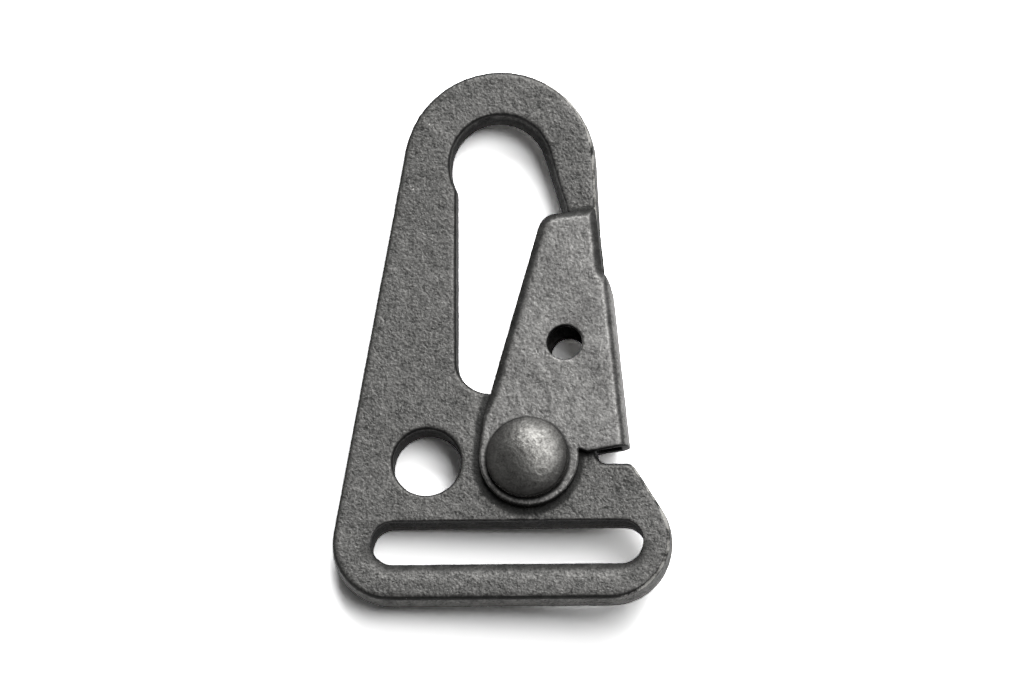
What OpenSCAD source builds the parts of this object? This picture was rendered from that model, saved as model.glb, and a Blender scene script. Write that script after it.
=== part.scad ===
// Snap hook for 1 inch webbing: a cast frame, a folded sheet gate on a rivet, and the gate's torsion spring.
// Origin: middle of the webbing slot, at half the frame's thickness. +X right, +Y towards the hook, +Z to the front.

/* [Webbing slot] */
// Length of the webbing slot at half thickness
slot_l = 26.7; // [26:0.1:28]
// Height of the webbing slot at half thickness
slot_h = 4.2; // [4.1:0.1:5]
// Metal left of the slot
slot_wall_left = 4.0; // [3.6:0.1:5]
// Metal right of the slot
slot_wall_right = 2.85; // [2.4:0.1:4]
// Height of the bar below the slot
bar_h = 3.87; // [3.4:0.1:5]

/* [Frame] */
// Thickness of the cast frame
frame_t = 4.0; // [3.6:0.1:4.6]
// Height of the hook's centre above the slot's middle
hook_y = 38.19; // [37:0.1:39.5]
// Distance of the hook's centre to the left of the slot's middle
hook_left = 1.15; // [0.8:0.05:1.8]
// Outer radius of the hook
hook_r = 9.54; // [9.2:0.05:10]
// Radius of the base's left corner
corner_left_r = 6.0; // [4.5:0.1:7]
// Radius of the base's right corner
corner_right_r = 6.1; // [5.4:0.1:6.6]
// Lean of the ramp that rises from the right corner to the shoulder
ramp_lean = 32.7; // [28:0.5:36]
// Radius of the shoulder's end
shoulder_r = 0.9; // [0.5:0.1:1.2]
// Radius of the eye's round end
eye_r = 4.55; // [4.3:0.05:4.9]
// Eye's centre to the left of the hook's centre
eye_shift = 0.14; // [0:0.02:0.4]
// Eye's centre below the hook's centre
eye_drop = 0.2; // [0:0.02:0.3]
// Distance of the eye's straight wall to the left of the eye's centre
eye_wall = 3.68; // [3.5:0.05:4]
// Lean of the eye's straight wall
eye_lean = 0.6; // [0:0.1:1]
// Radius in the corner at the foot of the eye
eye_corner_r = 3.2; // [2.4:0.1:3.6]

/* [Nose] */
// Lean of the nose's outer edge
nose_out_lean = 3.6; // [3:0.1:5]
// Lean of the nose's inner edge
nose_in_lean = 17.5; // [16:0.1:18]
// Distance of the nose's tip from the pivot's axis
tip_r = 20.54; // [20:0.1:21.4]
// Rounding of the tip's corners
tip_round = 0.6; // [0.5:0.05:0.8]

/* [Pivot lug] */
// Pivot axis to the right of the slot's middle
pivot_x = 2.03; // [1.6:0.05:2.4]
// Pivot axis above the slot's middle
pivot_y = 8.11; // [7.8:0.05:8.6]
// Reach of the lug to the right of the pivot
lug_right = 6.78; // [6.4:0.05:6.9]
// Reach of the lug above the pivot
lug_top = 7.07; // [6.6:0.05:7.2]
// Rounding of the lug's free corner, on which the opened gate stops
lug_r = 1.25; // [1.2:0.05:2]
// Drop of the shoulder below the pivot
shoulder_drop = 0.1; // [0:0.05:0.4]
// Fillet between lug and shoulder
lug_fillet_r = 1.0; // [0.5:0.1:1.5]

/* [Accessory hole] */
// Radius of the round hole
hole_r = 3.3; // [3:0.05:3.4]
// Round hole's centre to the left of the slot's middle
hole_left = 7.98; // [7.4:0.05:8.4]
// Round hole's centre above the slot's middle
hole_y = 8.09; // [7.8:0.05:8.6]
// Width of the round hole's chamfers
hole_chamfer = 0.22; // [0.1:0.02:0.3]

/* [Cast edges] */
// Radius of the cast edges
edge_r = 0.4; // [0.3:0.05:0.5]
// Draft of the cast sides, in degrees
draft = 4; // [2:0.5:5]

/* [Gate] */
// Thickness of the gate's sheet
sheet_t = 0.85; // [0.7:0.05:1]
// Gap between a plate of the gate and the frame's face
side_gap = 0.12; // [0.08:0.02:0.2]
// Lean of the gate's fold when it is closed
gate_lean = 6.58; // [6:0.05:7]
// Distance of the fold's outer face from the pivot's axis
fold_x = 9.96; // [9.75:0.05:10.2]
// Outer radius of the fold's bends
fold_r = 1.0; // [0.9:0.05:1.1]
// Amount that the plates are cut back beside the nose
nose_cut = 0.66; // [0.4:0.02:0.8]
// Length of the plates past the nose's tip
tip_cover = 3.92; // [3.4:0.1:4.6]
// Height of the fold's foot above the pivot's axis
foot_y = 0.62; // [0.4:0.05:0.8]
// Distance of the plates' inner edge from the pivot's axis
inner_edge = 5.43; // [5.2:0.02:5.5]
// Lean of the plates' inner edge from the fold
inner_lean = 21.78; // [20:0.1:23]
// Length of the inner edge's straight run below its nearest point to the pivot
inner_run = 2.9; // [2.6:0.1:3.4]
// Rounding of the plates' upper inner corner
corner_r = 2.0; // [1.4:0.1:2.4]
// Radius of the lobe around the rivet
lobe_r = 4.95; // [4.8:0.05:5.1]
// Offset of the lobe's centre from the pivot's axis, right and up
lobe_shift = 0.19; // [0:0.01:0.25]
// Radius of the small hole through both plates
eyelet_r = 1.67; // [1.4:0.05:1.8]
// Small hole's centre to the right of the pivot's axis
eyelet_x = 4.86; // [4.6:0.05:5.2]
// Small hole's centre above the pivot's axis
eyelet_y = 11.23; // [11:0.1:12]
// Outer radius of the turn-in at the top of the fold
turn_r = 2.4; // [2:0.1:2.8]
// Gap between the turn-in and the nose's tip
tip_gap = 0.2; // [0.15:0.05:0.3]
// Gap between the closed gate's lip and the nose
lip_gap = 0.06; // [0.04:0.01:0.1]
// Length of the lip that stops on the nose's inner edge
lip_l = 2.2; // [1.6:0.1:2.6]

/* [Rivet] */
// Radius of the rivet's shank
shank_r = 1.6; // [1.4:0.05:1.7]
// Radial clearance of the shank in the frame's lug
shank_fit = 0.05; // [0.03:0.01:0.08]
// Radial clearance of the shank in the plates
plate_fit = 0.02; // [0.02:0.01:0.05]
// Radius of the domed head
dome_r = 4.05; // [4:0.05:4.4]
// Height of the domed head
dome_h = 1.9; // [1.5:0.1:2.1]
// Height of the domed head's upright rim
dome_rim = 0.9; // [0.2:0.05:1.1]
// Radius of the formed head
tail_r = 3.0; // [2.6:0.1:3.4]
// Height of the formed head
tail_h = 0.8; // [0.6:0.1:1]
// Gap under each head
head_gap = 0.02; // [0.01:0.01:0.04]

/* [Spring] */
// Diameter of the spring's wire
wire_d = 0.6; // [0.5:0.05:0.65]
// Radial room between the coil and the shank
coil_gap = 0.2; // [0.15:0.05:0.25]
// Full turns of the coil
coil_turns = 2; // [1:1:2]
// Gap between neighbouring turns
turn_gap = 0.05; // [0.03:0.01:0.08]
// Direction of the leg that pushes the gate, in degrees
push_angle = 35; // [32:1:38]
// Length of the leg that rests on the frame
rest_leg_l = 4.2; // [3.6:0.1:4.4]
// Length of the bent foot on the gate's fold
push_foot_l = 1.6; // [1:0.1:2]
// Gap between the spring and what it bears on
spring_seat = 0.05; // [0.04:0.01:0.08]
// Room around the spring in its slot
spring_room = 0.3; // [0.25:0.05:0.35]
// Angle that the gate opens, for which the spring's slot makes room
open_angle = 25; // [22:1:25]

/* [Hidden] */
$fn = 96;
arc_step = 7.5;
past = 1;
far = 60;

STEEL = "#5c5e5c";
SHEET = "#7c7d78";
RIVET_STEEL = "#6a6b68";
WIRE = "#8a8b88";

pivot = [pivot_x, pivot_y];
hook_c = [-hook_left, hook_y];
base_left = -slot_l / 2 - slot_wall_left;
base_right = slot_l / 2 + slot_wall_right;
base_y = -slot_h / 2 - bar_h;
shoulder_y = pivot_y - shoulder_drop;
eye_c = hook_c - [eye_shift, eye_drop];

plate_in = frame_t / 2 + side_gap;
plate_out = plate_in + sheet_t;
gate_top = tip_r + tip_cover;
turn_out_r = tip_r - tip_gap;
turn_in_r = turn_out_r - sheet_t;

coil_in_r = shank_r + coil_gap;
coil_r = coil_in_r + wire_d / 2;
coil_pitch = wire_d + turn_gap;
coil_from = -90;
coil_to = push_angle - 90 + 360 * coil_turns;
coil_rise = coil_pitch * (coil_to - coil_from) / 360;
pocket_h = coil_rise + wire_d + 2 * spring_seat;
pocket_r = coil_r + wire_d / 2 + spring_room;

// Point at radius r and angle a
function polar(r, a) = [r * cos(a), r * sin(a)];
// Point p turned by angle a about the origin
function turned(p, a) = [p.x * cos(a) - p.y * sin(a), p.x * sin(a) + p.y * cos(a)];
function unit(v) = v / norm(v);
// Angle in the range -180 to 180
function wrapped(a) = a - 360 * round(a / 360);
// Points of an arc about c from angle a0 to a1
function arc(c, r, a0, a1) =
    let (n = max(2, ceil(abs(a1 - a0) / arc_step)))
    [for (i = [0:n]) c + polar(r, a0 + (a1 - a0) * i / n)];
// Points that round the corner b between a and c with radius r
function rounded(a, b, c, r) =
    let (u = unit(a - b), v = unit(c - b),
         half = acos(u * v) / 2,
         m = b + unit(u + v) * r / sin(half),
         p = b + u * r / tan(half) - m,
         q = b + v * r / tan(half) - m,
         start = atan2(p.y, p.x))
    arc(m, r, start, start + wrapped(atan2(q.y, q.x) - start));
// Point where the line through p along d meets the circle of radius r about c, on the far side
function on_circle(p, d, c, r) =
    let (u = unit(d), along = (c - p) * u, off = norm(c - p - u * along))
    p + u * (along + sqrt(r * r - off * off));
// All of a list but its first item
function rest(list) = [for (i = [1:len(list) - 1]) list[i]];
// Points with weights that run from w0 to w1
function weighed(points, w0, w1) =
    [for (i = [0:len(points) - 1])
        [points[i].x, points[i].y, w0 + (w1 - w0) * i / (len(points) - 1)]];

// How strongly the edge is rounded and the wall is drafted: at the sides, on the eye's wall, at its left end, in the
// hook, along the nose, at its tip, along the bar, in the slot and on the slot's side of the bar
side_w = [1.1, 1.1];
wall_w = [0.95, 0.95];
eye_end_w = [0.6, 0.9];
hook_in_w = [0.45, 3.3];
nose_in_w = [0.45, 8.1];
tip_w = [0.75, 0.75];
bar_w = [1.5, 1.5];
slot_w = [0.4, 0.4];
crest_w = [4.6, 0.4];

// Directions of the nose's edges, from the hook down to the tip
nose_in_d = [sin(nose_in_lean), -cos(nose_in_lean)];
nose_out_d = [sin(nose_out_lean), -cos(nose_out_lean)];
nose_in_p = eye_c + polar(eye_r, nose_in_lean);
nose_out_p = hook_c + polar(hook_r, nose_out_lean);
tip_in = on_circle(nose_in_p, -nose_in_d, pivot, tip_r);
tip_out = on_circle(nose_out_p, -nose_out_d, pivot, tip_r);

// Corners of the base, the shoulder and the lug
corner_left_c = [base_left + corner_left_r, base_y + corner_left_r];
arm_v = hook_c - corner_left_c;
arm_lean = atan2(arm_v.x, arm_v.y) - asin((hook_r - corner_left_r) / norm(arm_v));
corner_right_c = [base_right - corner_right_r, base_y + corner_right_r];
ramp_p = corner_right_c + polar(corner_right_r, ramp_lean);
shoulder_end = [ramp_p.x - (shoulder_y - ramp_p.y) * tan(ramp_lean), shoulder_y];
lug_foot = [pivot_x + lug_right, shoulder_y];
lug_corner = [pivot_x + lug_right, pivot_y + lug_top];
eye_d = [-sin(eye_lean), cos(eye_lean)];
eye_foot = [eye_c.x - eye_wall, pivot_y + lug_top];
eye_top = on_circle(eye_foot, -eye_d, eye_c, eye_r);
eye_from = 360 + atan2(eye_top.y - eye_c.y, eye_top.x - eye_c.x);

// Outline of the frame at half thickness, anticlockwise, as [x, y, weights]
frame_outline = concat(
    weighed(arc(corner_left_c, corner_left_r, 180 - arm_lean, 270), side_w, bar_w),
    weighed(arc(corner_right_c, corner_right_r, -90, ramp_lean), bar_w, side_w),
    weighed(rounded(ramp_p, shoulder_end, lug_foot, shoulder_r), side_w, side_w),
    weighed(rounded(shoulder_end, lug_foot, lug_corner, lug_fillet_r), side_w, side_w),
    weighed(rounded(lug_foot, lug_corner, eye_foot, lug_r), side_w, side_w),
    weighed(rounded(lug_corner, eye_foot, eye_top, eye_corner_r), side_w, wall_w),
    weighed(arc(eye_c, eye_r, eye_from, 180), wall_w, eye_end_w),
    rest(weighed(arc(eye_c, eye_r, 180, 135), eye_end_w, hook_in_w)),
    rest(weighed(arc(eye_c, eye_r, 135, nose_in_lean), hook_in_w, nose_in_w)),
    weighed([(nose_in_p + tip_in) / 2, (nose_in_p + 4 * tip_in) / 5], nose_in_w, tip_w),
    weighed(rounded(nose_in_p, tip_in, tip_out, tip_round), tip_w, tip_w),
    weighed(rounded(tip_in, tip_out, nose_out_p, tip_round), tip_w, side_w),
    weighed(arc(hook_c, hook_r, nose_out_lean, 180 - arm_lean), side_w, side_w));

// Outline of the webbing slot at half thickness
slot_outline = concat(
    weighed(arc([slot_l / 2 - slot_h / 2, 0], slot_h / 2, -90, 0), crest_w, slot_w),
    rest(weighed(arc([slot_l / 2 - slot_h / 2, 0], slot_h / 2, 0, 90), slot_w, slot_w)),
    weighed(arc([slot_h / 2 - slot_l / 2, 0], slot_h / 2, 90, 180), slot_w, slot_w),
    rest(weighed(arc([slot_h / 2 - slot_l / 2, 0], slot_h / 2, 180, 270), slot_w, crest_w)));

// Insets by rounding and by draft, and height, of the cast edge, from the face down to half thickness
round_steps = 3;
drafted = tan(draft) * (frame_t / 2 - edge_r);
edge_profile = concat(
    [for (i = [round_steps:-1:0])
        let (a = 90 * i / round_steps)
        [[edge_r * (1 - cos(a)), drafted], frame_t / 2 - edge_r + edge_r * sin(a)]],
    [[[0, 0], 0]]);
// The same profile for both faces, from the back to the front
both_edges = concat(
    [for (p = edge_profile) [p[0], -p[1]]],
    [for (i = [len(edge_profile) - 2:-1:0]) edge_profile[i]]);

// Point i of a closed outline, moved inwards by its weights times insets
function inset_point(outline, i, insets) =
    let (n = len(outline),
         p = outline[i], a = outline[(i + n - 1) % n], b = outline[(i + 1) % n],
         u = unit([p.x - a.x, p.y - a.y]), v = unit([b.x - p.x, b.y - p.y]),
         m = [-u.y - v.y, u.x + v.x] / (1 + u * v))
    [p.x, p.y] + m * (insets * p.z);

// Twice the area of the triangle a, b, c, positive when it runs anticlockwise
function turn(a, b, c) = (b.x - a.x) * (c.y - a.y) - (b.y - a.y) * (c.x - a.x);
function covers(a, b, c, p) = turn(a, b, p) >= 0 && turn(b, c, p) >= 0 && turn(c, a, p) >= 0;
// Whether the corner i of the polygon left can be cut off as a triangle
function is_ear(p, left, i) =
    let (n = len(left), a = left[(i + n - 1) % n], b = left[i], c = left[(i + 1) % n])
    turn(p[a], p[b], p[c]) > 0
    && len([for (j = left) if (j != a && j != b && j != c && covers(p[a], p[b], p[c], p[j])) j]) == 0;
// Triangles that fill the anticlockwise polygon p; left holds the corners that are still to be cut off
function filled(p, left, i = 0, done = []) =
    let (n = len(left), k = i % n)
    n == 3 ? concat(done, [left])
    : is_ear(p, left, k)
    ? filled(p, [for (j = [0:n - 1]) if (j != k) left[j]], k + 1,
        concat(done, [[left[(k + n - 1) % n], left[k], left[(k + 1) % n]]]))
    : filled(p, left, k + 1, done);

// Solid with the outline at half height and the edges of levels, which hold [insets, z] from back to front
module cast_solid(outline, levels) {
    n = len(outline);
    top = (len(levels) - 1) * n;
    rings = [for (level = levels) [for (i = [0:n - 1]) inset_point(outline, i, level[0])]];
    points = [for (k = [0:len(levels) - 1], q = rings[k]) [q.x, q.y, levels[k][1]]];
    sides = [for (k = [0:len(levels) - 2], i = [0:n - 1], t = [0, 1])
        let (a = k * n + i, b = a + n, d = k * n + (i + 1) % n, c = d + n)
        t == 0 ? [a, b, c] : [a, c, d]];
    ends = filled(rings[0], [for (i = [0:n - 1]) i]);
    polyhedron(points, concat(ends, sides, [for (f = ends) [top + f[2], top + f[1], top + f[0]]]));
}

module webbing_slot() {
    face = [for (p = both_edges) [-p[0], p[1]]];
    wide = face[0][0];
    cast_solid(slot_outline, concat([[wide, -frame_t / 2 - past]], face, [[wide, frame_t / 2 + past]]));
}

module accessory_hole() {
    translate([-hole_left, hole_y, 0]) {
        cylinder(h = frame_t + 2 * past, r = hole_r, center = true);
        for (side = [0, 1]) mirror([0, 0, side])
            translate([0, 0, frame_t / 2 - hole_chamfer])
                cylinder(h = 2 * hole_chamfer, r1 = hole_r, r2 = hole_r + 2 * hole_chamfer);
    }
}

// Milled slot in the lug that holds the spring, open to the right and upwards for the pushing leg
module spring_pocket() {
    low = push_angle;
    high = push_angle + open_angle + 8;
    lower = polar(pocket_r, low - 90);
    upper = polar(pocket_r, high + 90);
    floor_y = -coil_r - wire_d / 2 - spring_seat;
    translate([pivot_x, pivot_y, -pocket_h / 2]) {
        cylinder(h = pocket_h, r = pocket_r);
        linear_extrude(pocket_h)
            polygon([[0, 0], lower, lower + polar(far, low), upper + polar(far, high), upper]);
        translate([-rest_leg_l - spring_room, floor_y, 0])
            cube([rest_leg_l + spring_room, wire_d + spring_seat + spring_room, pocket_h]);
    }
}

module frame() color(STEEL)
    difference() {
        cast_solid(frame_outline, both_edges);
        webbing_slot();
        accessory_hole();
        translate([pivot_x, pivot_y, 0])
            cylinder(h = frame_t + 2 * past, r = shank_r + shank_fit, center = true);
        intersection() {
            spring_pocket();
            // Stops the pocket short of the nose, which stands far above the lug
            translate([-far, -far, -frame_t]) cube([2 * far, far + lug_corner.y + past, 2 * frame_t]);
        }
    }

// Turns a shape from the gate's own axes, with the origin on the pivot, to its closed place
module at_gate() {
    translate([pivot_x, pivot_y, 0]) rotate([0, 0, gate_lean]) children();
}
// The same for a point, the other way
function in_gate(p) = turned(p - pivot, -gate_lean);

turn_c = [fold_x - turn_r, sqrt(pow(turn_out_r - turn_r, 2) - pow(fold_x - turn_r, 2))];
turn_end = atan2(turn_c.y, turn_c.x);
inner_m = polar(inner_edge, 180 - inner_lean);
inner_e = [sin(inner_lean), cos(inner_lean)];
inner_low = inner_m + inner_e * inner_run;
inner_high = inner_m + inner_e * (gate_top - inner_m.y) / inner_e.y;
cut_x = fold_x - nose_cut;
cut_y = turn_c.y + sqrt(pow(turn_r, 2) - pow(turn_r - nose_cut, 2));
lobe_c = polar(lobe_shift, 45);
lobe_tangent = let (v = inner_low - lobe_c)
    lobe_c + polar(lobe_r, atan2(v.y, v.x) + acos(lobe_r / norm(v)));

// The lip's right face, parallel to the nose's inner edge
lip_lean = nose_in_lean - gate_lean;
lip_d = [-sin(lip_lean), cos(lip_lean)];
lip_q = [-cos(lip_lean), -sin(lip_lean)];
lip_foot = on_circle(in_gate(nose_in_p) + lip_q * lip_gap, lip_d, [0, 0], turn_in_r + sheet_t / 2);
lip_low = on_circle(in_gate(nose_in_p) + lip_q * (lip_gap + sheet_t / 2), lip_d, [0, 0],
    turn_in_r + sheet_t / 2);

// Outline of a plate of the gate, in the gate's own axes
module plate_outline() {
    translate(lobe_c) circle(lobe_r);
    polygon(concat(
        [lobe_c, lobe_tangent, inner_low],
        rounded(inner_low, inner_high, [cut_x, gate_top], corner_r),
        [[cut_x, gate_top], [cut_x, foot_y]]));
    intersection() {
        union() {
            translate([0, foot_y]) square([fold_x, turn_c.y - foot_y]);
            translate(turn_c) circle(turn_r);
        }
        translate([cut_x - past, foot_y]) square([nose_cut + 2 * past, cut_y - foot_y]);
    }
}

// Part of a ring between two angles
module ring_part(r_in, r_out, a0, a1) {
    intersection() {
        difference() {
            circle(r_out);
            circle(r_in);
        }
        polygon([[0, 0], polar(far, a0), polar(far, (a0 + a1) / 2), polar(far, a1)]);
    }
}

// The fold seen along the pivot: straight web, turn-in under the nose's tip, and the lip behind it
module fold_outline() {
    translate([fold_x - sheet_t, foot_y]) square([sheet_t, turn_c.y - foot_y]);
    translate(turn_c) ring_part(turn_r - sheet_t, turn_r, 0, turn_end);
    ring_part(turn_in_r, turn_out_r, turn_end, atan2(lip_low.y, lip_low.x));
    translate(lip_low) circle(sheet_t / 2);
    polygon([lip_foot, lip_foot + lip_d * lip_l, lip_foot + lip_d * lip_l + lip_q * sheet_t,
        lip_foot + lip_q * sheet_t]);
}

// Long bar with the two bends of the fold along its right side
module bend_bar() {
    wide = 2 * far;
    translate([0, far, 0]) rotate([90, 0, 0]) linear_extrude(2 * far)
        union() {
            translate([-wide, -plate_out]) square([wide + fold_x - fold_r, 2 * plate_out]);
            translate([-wide, -plate_out + fold_r]) square([wide + fold_x, 2 * (plate_out - fold_r)]);
            for (side = [-1, 1]) translate([fold_x - fold_r, side * (plate_out - fold_r)]) circle(fold_r);
        }
}

module gate() color(SHEET)
    at_gate() difference() {
        intersection() {
            union() {
                for (z = [-plate_out, plate_in]) translate([0, 0, z])
                    linear_extrude(sheet_t) plate_outline();
                translate([0, 0, -plate_out]) linear_extrude(2 * plate_out) fold_outline();
            }
            bend_bar();
        }
        cylinder(h = 2 * plate_out + 2 * past, r = shank_r + plate_fit, center = true);
        translate([eyelet_x, eyelet_y, 0])
            cylinder(h = 2 * plate_out + 2 * past, r = eyelet_r, center = true);
    }

module rivet() color(RIVET_STEEL)
    translate([pivot_x, pivot_y, 0]) {
        seat = plate_out + head_gap;
        cylinder(h = 2 * seat + 0.2, r = shank_r, center = true);
        translate([0, 0, seat]) head(dome_r, dome_h, dome_rim);
        translate([0, 0, -seat]) mirror([0, 0, 1]) head(tail_r, tail_h, tail_h / 3);
    }

// Round head of radius r and height h, with an upright rim below its cap
module head(r, h, rim) {
    cap_h = h - rim;
    cap_r = (r * r + cap_h * cap_h) / (2 * cap_h);
    intersection() {
        cylinder(h = h, r = r);
        translate([0, 0, h - cap_r]) sphere(cap_r);
    }
}

// Centre line of the spring: resting leg, coil, pushing leg and its foot along the fold
coil_low = -coil_rise / 2;
fold_in_x = fold_x - sheet_t - wire_d / 2 - spring_seat;
push_p = polar(coil_r, coil_to);
push_d = polar(1, push_angle);
fold_n = polar(1, gate_lean);
foot_start = push_p + push_d * (fold_in_x - push_p * fold_n) / (push_d * fold_n);
coil_steps = round((coil_to - coil_from) / 15);
spring_path = concat(
    [[-rest_leg_l, -coil_r, coil_low], [-rest_leg_l / 2, -coil_r, coil_low]],
    [for (i = [0:coil_steps])
        let (f = i / coil_steps, p = polar(coil_r, coil_from + (coil_to - coil_from) * f))
        [p.x, p.y, coil_low + coil_rise * f]],
    [let (p = (push_p + foot_start) / 2) [p.x, p.y, -coil_low],
     [foot_start.x, foot_start.y, -coil_low],
     let (p = foot_start + polar(push_foot_l, gate_lean + 90)) [p.x, p.y, -coil_low]]);

// Tube along a path that stays nearly level, with sides round it
module wire(path, d, sides) {
    n = len(path);
    level = [0, 0, 1];
    points = [for (k = [0:n - 1])
        let (t = unit(path[min(k + 1, n - 1)] - path[max(k - 1, 0)]),
             across = unit(cross(level, t)), up = cross(t, across))
        for (i = [0:sides - 1])
            path[k] + (across * cos(360 * i / sides) + up * sin(360 * i / sides)) * d / 2];
    skin = [for (k = [0:n - 2], i = [0:sides - 1])
        let (j = (i + 1) % sides)
        [k * sides + i, (k + 1) * sides + i, (k + 1) * sides + j, k * sides + j]];
    polyhedron(points, concat([[for (i = [0:sides - 1]) i]], skin,
        [[for (i = [sides - 1:-1:0]) (n - 1) * sides + i]]));
}

module spring() color(WIRE)
    translate([pivot_x, pivot_y, 0]) wire(spring_path, wire_d, 8);

frame();
gate();
rivet();
spring();
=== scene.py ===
"""Looks of the snap hook: a cast and phosphated frame, a tumbled sheet gate, its domed rivet and its spring.

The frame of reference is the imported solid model, in metres: origin in the middle of the webbing slot,
+Y towards the hook and +Z out of the front. Sizes in this file are written in millimetres and are turned
to metres where they are used.
"""

from __future__ import annotations

import logging
import math
from collections.abc import Callable
from dataclasses import dataclass, field
from enum import Enum
from typing import Any

import bmesh
import bpy
import numpy as np
from mathutils import Matrix, Vector
from mathutils.bvhtree import BVHTree
from mathutils.kdtree import KDTree


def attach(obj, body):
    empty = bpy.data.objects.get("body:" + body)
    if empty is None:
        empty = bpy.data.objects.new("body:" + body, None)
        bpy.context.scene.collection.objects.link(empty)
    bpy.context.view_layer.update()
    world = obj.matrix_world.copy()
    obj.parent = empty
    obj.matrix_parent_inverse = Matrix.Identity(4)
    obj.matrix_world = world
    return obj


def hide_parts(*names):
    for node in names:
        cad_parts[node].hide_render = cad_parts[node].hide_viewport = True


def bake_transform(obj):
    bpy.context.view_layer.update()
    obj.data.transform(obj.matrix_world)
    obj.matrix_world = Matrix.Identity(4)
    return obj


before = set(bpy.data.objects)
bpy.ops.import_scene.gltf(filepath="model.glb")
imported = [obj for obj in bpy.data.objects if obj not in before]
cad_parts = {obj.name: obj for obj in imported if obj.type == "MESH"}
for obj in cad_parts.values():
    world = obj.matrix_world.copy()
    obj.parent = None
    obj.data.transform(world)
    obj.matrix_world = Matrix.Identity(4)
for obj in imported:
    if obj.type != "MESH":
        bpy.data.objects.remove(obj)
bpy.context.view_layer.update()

PIVOT_MM = (2.03, 8.11)
LOG = logging.getLogger("snap_hook")

ShadeRule = Callable[[np.ndarray, np.ndarray], np.ndarray]


def mm(value: float) -> float:
    """Turns millimetres to metres."""
    return value / 1000


def point(x: float, y: float, z: float) -> Vector:
    """Makes a place in metres from one in millimetres."""
    return Vector((mm(x), mm(y), mm(z)))


def linear(hex_colour: str) -> tuple[float, float, float, float]:
    """Turns an sRGB hex colour to the linear one that shader sockets take.

    Args:
        hex_colour: Six hex digits, such as "8c8f8a".

    Returns:
        Linear red, green, blue and alpha.
    """
    parts = [int(hex_colour[i : i + 2], 16) / 255 for i in (0, 2, 4)]
    red, green, blue = (p / 12.92 if p <= 0.04045 else ((p + 0.055) / 1.055) ** 2.4 for p in parts)
    return red, green, blue, 1.0


class Body(Enum):
    """The bodies of the solid model that move as one."""

    FRAME = "frame"
    GATE = "gate"


class Mark(Enum):
    """Attributes on a mesh that tell its finish where the surface was worn, and where shade is painted into
    its colour.
    """

    WEAR_AND_SHADE = "rubbed"
    EDGE = "edge"


class Slot(Enum):
    """The material slots of the record."""

    FRAME = "frame_steel"
    GATE = "gate_steel"
    RIVET = "rivet_steel"
    SPRING = "spring_steel"


# Materials


def add(
    material: bpy.types.Material | bpy.types.World,
    kind: str,
    settings: dict[str, Any] | None = None,
    values: dict[str, Any] | None = None,
    links: dict[str, bpy.types.NodeSocket] | None = None,
) -> bpy.types.Node:
    """Adds one node to a material or a world.

    Args:
        material: The material or world that gets the node.
        kind: The node's type name, such as "ShaderNodeTexNoise".
        settings: The node's own properties, such as its operation.
        values: Values of its input sockets, by name or number.
        links: Output sockets of other nodes that feed its inputs, by name or number.

    Returns:
        The new node.
    """
    tree = material.node_tree
    node = tree.nodes.new(kind)
    for name, value in (settings or {}).items():
        setattr(node, name, value)
    for name, value in (values or {}).items():
        node.inputs[name].default_value = value
    for name, source in (links or {}).items():
        tree.links.new(source, node.inputs[name])
    return node


def ramp(
    material: bpy.types.Material,
    source: bpy.types.NodeSocket,
    stops: list[tuple[float, str]],
) -> bpy.types.NodeSocket:
    """Maps a value to colours.

    Args:
        material: The material that gets the node.
        source: The value that is mapped.
        stops: Places from 0 to 1 with their sRGB hex colours, in order.

    Returns:
        The ramp's colour output.
    """
    node = add(material, "ShaderNodeValToRGB", links={"Fac": source})
    elements = node.color_ramp.elements
    while len(elements) < len(stops):
        elements.new(0.5)
    for element, (place, colour) in zip(elements, stops):
        element.position = place
        element.color = linear(colour)
    return node.outputs["Color"]


def spread(
    material: bpy.types.Material,
    source: bpy.types.NodeSocket,
    low: float,
    high: float,
    to_low: float,
    to_high: float,
) -> bpy.types.NodeSocket:
    """Maps a value from one range to another and clamps it there.

    Args:
        material: The material that gets the node.
        source: The value that is mapped.
        low: Value that becomes to_low.
        high: Value that becomes to_high.
        to_low: First end of the new range.
        to_high: Second end of the new range.

    Returns:
        The mapped value.
    """
    node = add(
        material,
        "ShaderNodeMapRange",
        values={"From Min": low, "From Max": high, "To Min": to_low, "To Max": to_high},
        links={"Value": source},
    )
    return node.outputs["Result"]


def noise(
    material: bpy.types.Material,
    where: bpy.types.NodeSocket,
    grain_mm: float,
    detail: float = 2.0,
    roughness: float = 0.5,
) -> bpy.types.NodeSocket:
    """Makes a cloudy pattern.

    Args:
        material: The material that gets the node.
        where: The coordinates, in metres.
        grain_mm: Size of the largest spots, in millimetres.
        detail: Number of finer layers.
        roughness: Strength of the finer layers.

    Returns:
        The pattern's value, mostly from 0.3 to 0.7.
    """
    node = add(
        material,
        "ShaderNodeTexNoise",
        values={"Scale": 1 / mm(grain_mm), "Detail": detail, "Roughness": roughness},
        links={"Vector": where},
    )
    return node.outputs["Fac"]


def mixed(
    material: bpy.types.Material,
    share: bpy.types.NodeSocket,
    first: bpy.types.NodeSocket | str,
    second: bpy.types.NodeSocket | str,
) -> bpy.types.NodeSocket:
    """Mixes two colours.

    Args:
        material: The material that gets the node.
        share: Share of the second colour, from 0 to 1.
        first: A colour output, or an sRGB hex colour.
        second: The same for the second colour.

    Returns:
        The mixed colour.
    """
    values = {name: linear(c) for name, c in (("A", first), ("B", second)) if isinstance(c, str)}
    links = {name: c for name, c in (("A", first), ("B", second)) if not isinstance(c, str)}
    node = add(material, "ShaderNodeMix", settings={"data_type": "RGBA"})
    slots = {"A": node.inputs[6], "B": node.inputs[7]}
    material.node_tree.links.new(share, node.inputs[0])
    for name, value in values.items():
        slots[name].default_value = value
    for name, source in links.items():
        material.node_tree.links.new(source, slots[name])
    return node.outputs[2]


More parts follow.
